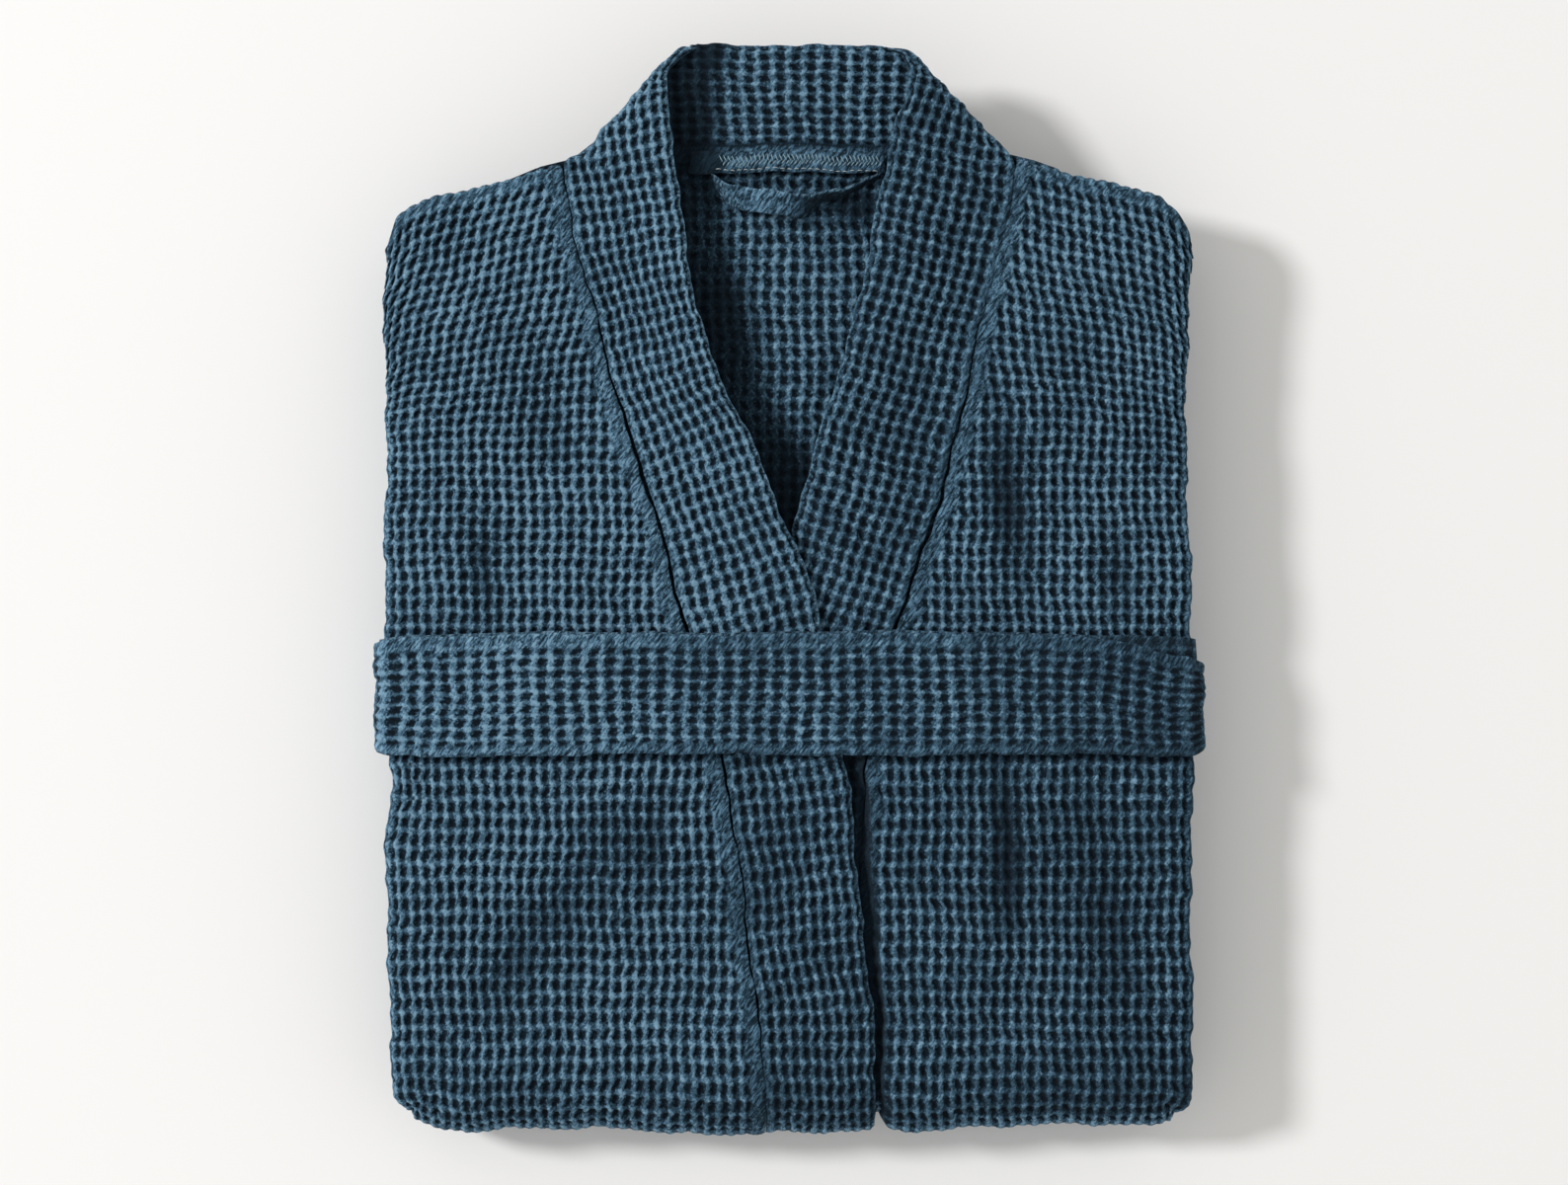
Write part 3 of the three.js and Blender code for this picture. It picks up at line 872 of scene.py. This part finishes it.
def pocket(hand, side, material):
    """A patch pocket, which lies round the pack's side: its edge shows there, and the rest is below."""
    thick = 2.5
    outward = SIDE_RADIUS + GAP + thick
    run = PI * outward
    bend = SIDE_CENTRE - 12
    curve = SIDE_CENTRE + np.arange(-11, run + 2, 1.1)
    last = 2 * SIDE_CENTRE - 143 + run
    w = np.concatenate([np.linspace(POCKET_LOW[0], bend, 12), curve, [curve[-1] + 8, last]])
    W, Y = np.meshgrid(w, np.arange(POCKET_LOW[1], POCKET_HIGH[1] + 0.1, 1.16))
    U, V = W / CELL_ACROSS, Y / CELL_TALL
    from_hem = Y - POCKET_LOW[1]
    plain = np.maximum(1 - ramp(4, 6, POCKET_HIGH[1] - Y), 1 - ramp(18, 20, from_hem))

    def place(offset):
        x, d = fold(side, W, offset, outward)
        z = route(UNDER_AT + Y - LOWER_CENTRE, d - GAP - thick)[1]
        return vectors(x, Y, z)

    woven = ramp(bend, bend + 3, W)
    down = relief(U, V, plain, 1.5) * woven + groove(from_hem - 19, 1.2, 0.8)
    piece = sheet_piece(
        f"pocket_{hand}",
        outer=place(np.minimum(down, 1.9)),
        inner=place(thick),
        weave=(U, V, plain),
        finish=(1 - woven, 0, 0),
        inner_step=8,
        material=material,
        inner_columns=every(len(w), 4),
    )


def strip(node, step, material):
    """A small flat strip: its edges are rounded and its face is slightly raised."""
    low, high = node_box(node)
    wide, tall, thick = high - low
    xs = np.linspace(low[0], high[0], max(3, int(wide / step) + 1))
    ys = np.linspace(low[1], high[1], max(3, int(tall / step) + 1))
    X, Y = np.meshgrid(xs, ys)
    rim = np.minimum(np.minimum(X - low[0], high[0] - X), np.minimum(Y - low[1], high[1] - Y))
    top = high[2] - 0.55 * thick * (1 - ramp(0, 1.2, rim)) + 0.3 * ramp(0, 3, rim)
    piece = sheet_piece(
        node,
        outer=vectors(X, Y, top),
        inner=vectors(X, Y, low[2]),
        weave=(X / 3, Y / 3, 1),
        finish=(0, 0, 0),
        inner_step=3,
        material=material,
        inner_columns=every(len(xs), 3),
    )


# ---- stitches and the hanging loop


def thread(points, thick):
    """Vertices and faces of one stitch: a thread bent through the points, with six sides."""
    points = np.array(points, float)
    along = np.gradient(points, axis=0)
    along /= np.linalg.norm(along, axis=1)[:, None]
    across = np.cross(along, (0, 0, 1))
    across /= np.linalg.norm(across, axis=1)[:, None]
    over = np.cross(across, along)
    turn = np.arange(6) * PI / 3
    taper = thick / 2 * np.sin(np.linspace(0.5, PI - 0.5, len(points)))
    ring = np.cos(turn)[:, None, None] * across + np.sin(turn)[:, None, None] * over
    vertices = (points + ring * taper[None, :, None]).transpose(1, 0, 2).reshape(-1, 3)
    last = 6 * (len(points) - 1)
    pairs = [(k + i, k + (i + 1) % 6) for k in range(0, last, 6) for i in range(6)]
    faces = [(a, b, b + 6, a + 6) for a, b in pairs]
    return vertices, faces + [(5, 4, 3, 2, 1, 0), tuple(range(last, last + 6))]


def stitches(name, paths, thick, material):
    """Rows of stitches in the tape as one piece, riding on the robe."""
    vertices, faces = [], []
    for path in paths:
        new_vertices, new_faces = thread(path, thick)
        faces += [tuple(len(vertices) + i for i in face) for face in new_faces]
        vertices += [tuple(v * MM) for v in settle(new_vertices)]
    mesh = bpy.data.meshes.new(name)
    mesh.from_pydata(vertices, [], faces)
    add_piece(name, mesh, "robe", material)


def tape_stitches(zigzag_material, line_material):
    """The tape's stitches: a zigzag along its middle and a line along its lower edge."""
    z = TAPE_HIGH[2] + 0.5
    zigzag, line = [], []
    for x in np.arange(-29, TAPE_HIGH[0] - 2.5, 1.8):
        for low, high, way in ((183.7, 185.3, 1), (185.3, 188.0, -1)):
            far = x + 1.15 * way
            middle = ((x + far) / 2, (low + high) / 2, z + 0.25)
            zigzag.append([(x, low, z - 0.2), middle, (far, high, z - 0.2)])
    for x in np.arange(TAPE_LOW[0] + 11, TAPE_HIGH[0] - 3, 3.1):
        y = 182.1 - 0.012 * (x + 36) + 0.3 * math.sin(x / 2)
        line.append([(x, y, z - 0.35), (x + 0.9, y + 0.1, z), (x + 1.9, y - 0.1, z - 0.35)])
    stitches("neck_tape_zigzag_stitches", zigzag, 0.42, zigzag_material)
    stitches("neck_tape_line_stitches", line, 0.5, line_material)


LOOP_EDGE = [
    (-34, 181), (-29, 176.4), (-19.2, 174.4), (-6.9, 172.4), (0, 170.8), (6.2, 170.1),
    (14.1, 171.2), (23.8, 173.6), (32.6, 176.6), (39.5, 180.6),
]
LOOP_SMOOTHING = 60  # rounds that turn the points above into one curve
LOOP_WIDE = 10.4
LOOP_SEAM = 1.7  # from the ribbon's edges to its stitching


def hanging_loop(material):
    """A folded ribbon that hangs from the tape by its ends: flat at the left, on edge at the right."""
    knots = np.array(LOOP_EDGE, float)
    lengths = np.concatenate([[0], np.cumsum(np.hypot(*np.diff(knots, axis=0).T))])
    t = np.linspace(0, lengths[-1], 141)
    edge = np.stack([np.interp(t, lengths, knots[:, k]) for k in (0, 1)], -1)
    for _ in range(LOOP_SMOOTHING):
        edge[1:-1] = (edge[:-2] + 2 * edge[1:-1] + edge[2:]) / 4
    share = t / lengths[-1]
    width = np.linspace(0, LOOP_WIDE, 27)
    C, T = np.meshgrid(width, np.arange(len(t)))
    lean = (1.3 * ramp(0.4, 0.72, share) + 1.0 * ramp(0.22, 0.0, share))[T]
    edge_z = (LOOP_HIGH[2] - 1.9 + 0.4 * (LOOP_HIGH[1] - edge[:, 1]))[T]

    def place(offset):
        across = C * np.cos(lean) + offset * np.sin(lean)
        z = edge_z - C * np.sin(lean) - offset * np.cos(lean)
        return vectors(edge[T, 0] + 0.12 * across, edge[T, 1] - across, z)

    hump = 0.5 + 0.5 * ramp(0, 3, np.minimum(C, LOOP_WIDE - C))
    stitch = groove(C - LOOP_SEAM, 0.5, 0.4) + groove(LOOP_WIDE - C - LOOP_SEAM, 0.5, 0.4)
    uneven = 0.15 * np.sin(T / 2.1 + C / 1.3) + 0.12 * np.sin(T / 1.3 - C / 0.9)
    # painted shade on the right half, which stands on edge away from the light, and a painted highlight along
    # the top fold
    fold_highlight = bell(C, 0.9)
    piece = sheet_piece(
        "hanging_loop",
        outer=place(-0.9 * hump + stitch + uneven),
        inner=place(0.9 * hump),
        weave=(T / 6.0, C / 3.0, 1),
        finish=(0, 0.55 * ramp(0.42, 0.62, share[T]) * (1 - fold_highlight) - 0.35 * fold_highlight, 0),
        inner_step=2,
        material=material,
        inner_columns=every(len(width), 2),
        body="hanging_loop",
    )


# ---- belt


def round_pack(length, offset):
    """x and z at a distance round the pack, at an offset outside it, and the whole way round.
    It starts under the middle and goes towards +x."""
    flat_x = 2 * SIDE_CENTRE
    flat_z = TOP - UNDER_BELT - 2 * SIDE_RADIUS
    bend = PI / 2 * SIDE_RADIUS
    stops = np.cumsum([flat_x / 2, bend, flat_z, bend, flat_x, bend, flat_z, bend, flat_x / 2])
    length = np.mod(length, stops[-1])
    zone = np.searchsorted(stops, length, side="right")
    within = length - np.concatenate([[0], stops])[zone]
    corners_x = np.array([0, 1, 1, 1, 1, -1, -1, -1, -1]) * SIDE_CENTRE
    low_z, high_z = UNDER_BELT + SIDE_RADIUS, TOP - SIDE_RADIUS
    corners_z = np.array([low_z, low_z, low_z, high_z, high_z, high_z, high_z, low_z, low_z])
    turning = zone % 2 == 1
    angle = (zone // 2 - 1) * PI / 2 + np.where(turning, within / SIDE_RADIUS, 0)
    travel = np.where(turning, 0, within)
    x = corners_x[zone] + np.cos(angle) * (SIDE_RADIUS + offset) - np.sin(angle) * travel
    z = corners_z[zone] + np.sin(angle) * (SIDE_RADIUS + offset) + np.cos(angle) * travel
    return x, z, stops[-1]


BELT_CELL_LONG, BELT_CELL_TALL = 7.2, 5.0
BELT_OVERLAP = 30
BELT_TOP_STRIP, BELT_LOW_STRIP = 6.8, 5.4  # plain strips along the belt's edges
BELT_SEAM = 17.2  # from the belt's upper edge


def belt(material):
    """The belt, twice round the pack, with only the second turn's face seen."""
    total = round_pack(0.0, 0.0)[-1]
    lengths = np.arange(0, 2 * total - BELT_OVERLAP, BELT_CELL_LONG / SAMPLES)
    along = np.mod(lengths, total)
    shown = (lengths >= total - BELT_OVERLAP) & (along > 150) & (along < total - 150)
    kept = shown | (np.arange(len(lengths)) % 4 == 0)
    kept[-1] = True
    lengths, shown = lengths[kept], shown[kept]
    width = BELT_HIGH[1] - BELT_LOW[1] - 1.8
    across = np.linspace(0, width, int(width / BELT_CELL_TALL * SAMPLES) + 1)
    A, P = np.meshgrid(across, lengths)
    U, V = P / BELT_CELL_LONG, A / BELT_CELL_TALL
    top_strip = 1 - ramp(BELT_TOP_STRIP - 1, BELT_TOP_STRIP + 0.8, A)
    low_strip = ramp(width - BELT_LOW_STRIP, width - BELT_LOW_STRIP + 1.5, A)
    plain = 0.68 * np.maximum(top_strip, low_strip)
    rim = bell(np.minimum(A, width - A), 0.9)
    turn_at = total - BELT_OVERLAP / 2
    second = ramp(turn_at - 14, turn_at + 14, P)

    def place(offset):
        centre = GAP + BELT_CLOTH + second * (BELT_CLOTH + GAP)
        x, z = round_pack(P, centre - offset)[:2]
        lower = A / width
        bow = (x / BELT_HIGH[0]) ** 2 * (2.2 - 1.4 * lower)
        slip = second * (0.8 + 8.0 * ramp(125, 180, x) * (1 - lower))
        pinch = 3 * ramp(170, 184, np.abs(x)) ** 2 * (1 - 2 * lower)
        return vectors(x, BELT_HIGH[1] - A - slip - bow - pinch, z)

    seen = shown[:, None]
    down = np.minimum(relief(U, V, plain, 1.5), 1.9) * seen + 0.9 * rim
    down = down + groove(A - BELT_TOP_STRIP - 0.2, 0.8, 0.5) + groove(A - BELT_SEAM, 0.9, 0.5)
    piece = sheet_piece(
        "belt",
        outer=place(down),
        inner=place(BELT_CLOTH - 0.7 * rim),
        weave=(U, V, plain),
        finish=(1 - seen, -0.12 * top_strip, 0.55 * bell(A - BELT_SEAM, 0.6)),
        inner_step=6,
        material=material,
        coarse=every(len(across), 9),
        fine=shown,
        body="belt",
    )


# ---- materials


class Recipe:
    """A material's nodes, with short names for what this script does with them."""

    def __init__(self, name):
        self.material = bpy.data.materials.new(name)
        self.material.use_nodes = True
        self.tree = self.material.node_tree
        self.tree.nodes.clear()

    def node(self, kind, inputs=(), **traits):
        """A new node with its inputs, each a number, a colour or another node's socket."""
        made = self.tree.nodes.new("ShaderNode" + kind)
        for key, value in traits.items():
            setattr(made, key, value)
        for key, value in dict(inputs).items():
            if isinstance(value, bpy.types.NodeSocket):
                self.tree.links.new(value, made.inputs[key])
            else:
                made.inputs[key].default_value = value
        return made

    def maths(self, operation, *values, clamp=False):
        return self.node("Math", enumerate(values), operation=operation, use_clamp=clamp).outputs[0]

    def times(self, a, b, clamp=False):
        return self.maths("MULTIPLY", a, b, clamp=clamp)

    def plus(self, a, b):
        return self.maths("ADD", a, b)

    def less(self, a, b, clamp=False):
        return self.maths("SUBTRACT", a, b, clamp=clamp)

    def centred(self, value, amount):
        """A number from 0 to 1, moved to lie around 0."""
        return self.times(self.less(value, 0.5), amount)

    def ramp(self, value, low, high, to_low=0.0, to_high=1.0):
        names = ("Value", "From Min", "From Max", "To Min", "To Max")
        inputs = zip(names, (value, low, high, to_low, to_high))
        return self.node("MapRange", inputs, interpolation_type="SMOOTHSTEP").outputs["Result"]

    def noise(self, place, scale, detail, roughness, distortion=0.0):
        names = ("Vector", "Scale", "Detail", "Roughness", "Distortion")
        return self.node("TexNoise", zip(names, (place, scale, detail, roughness, distortion))).outputs["Fac"]

    def attribute(self, name):
        """The three numbers that the mesh holds under this name."""
        vector = self.node("Attribute", attribute_name=name).outputs["Vector"]
        return self.node("SeparateXYZ", {0: vector}).outputs

    def finish(self, inputs):
        """The surface: a Principled shader with these inputs."""
        shader = self.node("BsdfPrincipled", inputs)
        self.node("OutputMaterial", {"Surface": shader.outputs["BSDF"]})
        return self.material


# From the bottom of a cell to the crest of a ridge: the cloth's blue, painted dark in the cells as
# their shade and pale on the crests as their light.
BLUES = [
    (0.0, (0.002, 0.0065, 0.0125)),
    (0.2, (0.010, 0.028, 0.047)),
    (0.45, (0.049, 0.115, 0.182)),
    (0.72, (0.128, 0.268, 0.410)),
    (1.0, (0.280, 0.490, 0.670)),
]


# The scales of the noises, in steps to a metre.
YARN, FLUFF, THREADS, STRANDS = 1500, 620, 900, 560
FUZZ_ACROSS, FUZZ_ALONG = 640, 590  # how the cells' edges stray
LESS_SHADED, PATCHES = 120, 26  # cells painted with less shade, as if shallower, and wide fading


def ridge_tone(recipe, u, v):
    """Much the same as ridges(), as nodes, for painted light and shade: pale crests, dark cells, and
    the level ridges, which lie lower, painted darker than the upright ones.
    """
    across, along = [
        recipe.times(recipe.maths("ABSOLUTE", recipe.less(recipe.maths("FRACT", value), 0.5)), 2.0)
        for value in (u, v)
    ]
    upright = recipe.ramp(across, 0.27, 0.8)
    level = recipe.ramp(along, 0.36, 0.88)
    return recipe.plus(recipe.times(upright, 0.71), recipe.times(level, 0.46))


def waffle_material(name):
    """Waffle cloth: crests painted pale and cells painted dark as their light and shade, fuzzy yarn.
    The lattice comes from the mesh.
    """
    recipe = Recipe(name)
    ramp_of, times, plus, less = recipe.ramp, recipe.times, recipe.plus, recipe.less
    place = recipe.node("TexCoord").outputs["Object"]
    lattice_u, lattice_v, plain = recipe.attribute("weave")
    # how hidden the cloth is, its painted shade and its dark seams, from the mesh
    hidden, shade, seam = recipe.attribute("finish")
    stretched = {"Vector": place, "Rotation": (0, 0, 0.95), "Scale": (4.0, 1.0, 1.6)}
    slanted = recipe.node("Mapping", stretched, vector_type="TEXTURE").outputs["Vector"]

    u = plus(lattice_u, recipe.centred(recipe.noise(place, FUZZ_ACROSS, 3, 0.6), 0.8))
    v = plus(lattice_v, recipe.centred(recipe.noise(place, FUZZ_ALONG, 3, 0.6), 0.75))
    yarn = recipe.noise(place, YARN, 3, 0.75, 0.8)
    fluff = recipe.noise(place, FLUFF, 3, 0.65, 0.6)
    threads = recipe.noise(slanted, THREADS, 3, 0.7, 0.6)
    strands = recipe.maths("ABSOLUTE", recipe.centred(recipe.noise(place, STRANDS, 2, 0.55, 2.4), 1.0))
    fibre = ramp_of(strands, 0.0, 0.028, 1.0, 0.0)
    patch = recipe.noise(place, PATCHES, 3, 0.6)
    # cells painted lighter, as if shallower and less shaded
    less_shaded_cells = ramp_of(recipe.noise(place, LESS_SHADED, 2, 0.6), 0.46, 0.7, 0.0, 0.13)

    woven = plus(times(ridge_tone(recipe, u, v), 0.96), less_shaded_cells)
    woven = times(woven, ramp_of(fluff, 0.3, 0.7, 0.62, 1.2))
    woven = times(woven, ramp_of(threads, 0.32, 0.68, 0.68, 1.36))
    flat = ramp_of(threads, 0.36, 0.66, 0.13, 0.92)
    mixed = {"Factor": plain, "A": woven, "B": flat}
    cloth = recipe.node("Mix", mixed, data_type="FLOAT").outputs["Result"]

    tone = plus(cloth, recipe.centred(yarn, 0.5))
    tone = plus(tone, times(fibre, times(tone, 0.42)))
    tone = times(tone, ramp_of(patch, 0.3, 0.7, 0.88, 1.12))
    # painted shade from the mesh darkens the tone
    tone = times(tone, less(1.0, shade))
    tone = times(tone, less(1.0, times(seam, 0.8), clamp=True), clamp=True)
    colours = recipe.node("ValToRGB", {"Fac": tone})
    stops = colours.color_ramp.elements
    while len(stops) < len(BLUES):
        stops.new(0.5)
    for stop, (position, colour) in zip(stops, BLUES):
        stop.position = position
        stop.color = (*colour, 1)

    height = times(cloth, plus(0.5, hidden))
    for grain, amount in ((yarn, 0.6), (fluff, 0.9), (fibre, 0.22)):
        height = plus(height, times(grain, amount))
    bump = recipe.node("Bump", {"Strength": 1.0, "Distance": 0.001, "Height": height})
    return recipe.finish(
        {
            "Base Color": colours.outputs["Color"],
            "Normal": bump.outputs["Normal"],
            "Roughness": 0.95,
            "Specular IOR Level": 0.1,
            "Sheen Weight": 0.05,
            "Sheen Roughness": 0.5,
            "Sheen Tint": (0.55, 0.75, 0.95, 1),
        }
    )


def plain_material(name, colour):
    return Recipe(name).finish({"Base Color": (*colour, 1), "Roughness": 0.9})


# ---- floor, light and camera

FLOOR_HALF = 6.0  # metres
LIGHT_DISTANCE = 6.0  # metres
LIGHT_AZIMUTH = math.radians(162)
LIGHT_ELEVATION = math.radians(41)
CAMERA_PLACE = (-0.002, -0.0017, 1.658)  # metres, looking straight down


def make_stage():
    corners = [(x * FLOOR_HALF, y * FLOOR_HALF, 0) for x, y in ((-1, -1), (1, -1), (1, 1), (-1, 1))]
    mesh = bpy.data.meshes.new("floor")
    mesh.from_pydata(corners, [], [(0, 1, 2, 3)])
    mesh.materials.append(plain_material("floor_pale", (0.88, 0.88, 0.885)))
    add_object("floor", mesh)


def make_light():
    """One soft light from the upper left, and a pale sky."""
    light = bpy.data.lights.new("key", "AREA")
    light.shape = "DISK"
    light.size = 1.0
    light.energy = 224
    light.color = (1.0, 0.99, 0.985)
    key = add_object("key", light)
    out = LIGHT_DISTANCE * math.cos(LIGHT_ELEVATION)
    up = LIGHT_DISTANCE * math.sin(LIGHT_ELEVATION)
    key.location = (out * math.cos(LIGHT_AZIMUTH), out * math.sin(LIGHT_AZIMUTH), up)
    key.rotation_euler = (PI / 2 - LIGHT_ELEVATION, 0, LIGHT_AZIMUTH + PI / 2)
    key.visible_camera = False
    world = bpy.data.worlds.new("studio")
    world.use_nodes = True
    background = world.node_tree.nodes["Background"]
    background.inputs["Color"].default_value = (0.965, 0.95, 0.91, 1)
    background.inputs["Strength"].default_value = 0.67
    bpy.context.scene.world = world


def make_camera():
    camera = bpy.data.cameras.new("camera")
    camera.lens = 85
    camera.sensor_width = 36
    camera.dof.use_dof = False
    holder = add_object("camera", camera)
    holder.location = CAMERA_PLACE
    bpy.context.scene.camera = holder


# ---- everything, in its place


def nothing(x, y):
    return 0 * (x + y)


def left_dip(w, s):
    """The same extra depth as under_right_band, by a place on the cloth."""
    return under_right_band(w, flat_y(s))


bpy.context.scene.view_settings.view_transform = "Standard"
make_stage()
make_light()
make_camera()

waffle = waffle_material("waffle_cloth")
belt_waffle = waffle_material("belt_waffle_cloth")
tape_cloth = waffle_material("tape_cloth")
zigzag_thread = plain_material("zigzag_thread", (0.27, 0.42, 0.50))
line_thread = plain_material("line_thread", (0.36, 0.42, 0.44))

front_panel("right", -1, right_seam, nothing, nothing, waffle)
# the left front and band get painted shade beside the right band's free edge
front_panel("left", 1, left_seam, left_dip, valley_painted_shade, waffle)
band("right", -1, right_edge, right_seam, collar_side_right, nothing, nothing, waffle)
band("left", 1, left_edge, left_seam, collar_side_left, under_right_band, valley_painted_shade, waffle)
back_panel(waffle)
collar_neck(waffle)
for side, hand in ((-1, "right"), (1, "left")):
    flat_tube(f"sleeve_{hand}", side, SLEEVE_LOW, SLEEVE_HIGH, waffle, cuff=False)
    flat_tube(f"cuff_{hand}", side, CUFF_LOW, CUFF_HIGH, waffle, cuff=True)
    pocket(hand, side, waffle)
    strip(f"belt_loop_{hand}", 1.5, tape_cloth)
strip("neck_tape", 0.8, tape_cloth)
hanging_loop(tape_cloth)
tape_stitches(zigzag_thread, line_thread)
belt(belt_waffle)
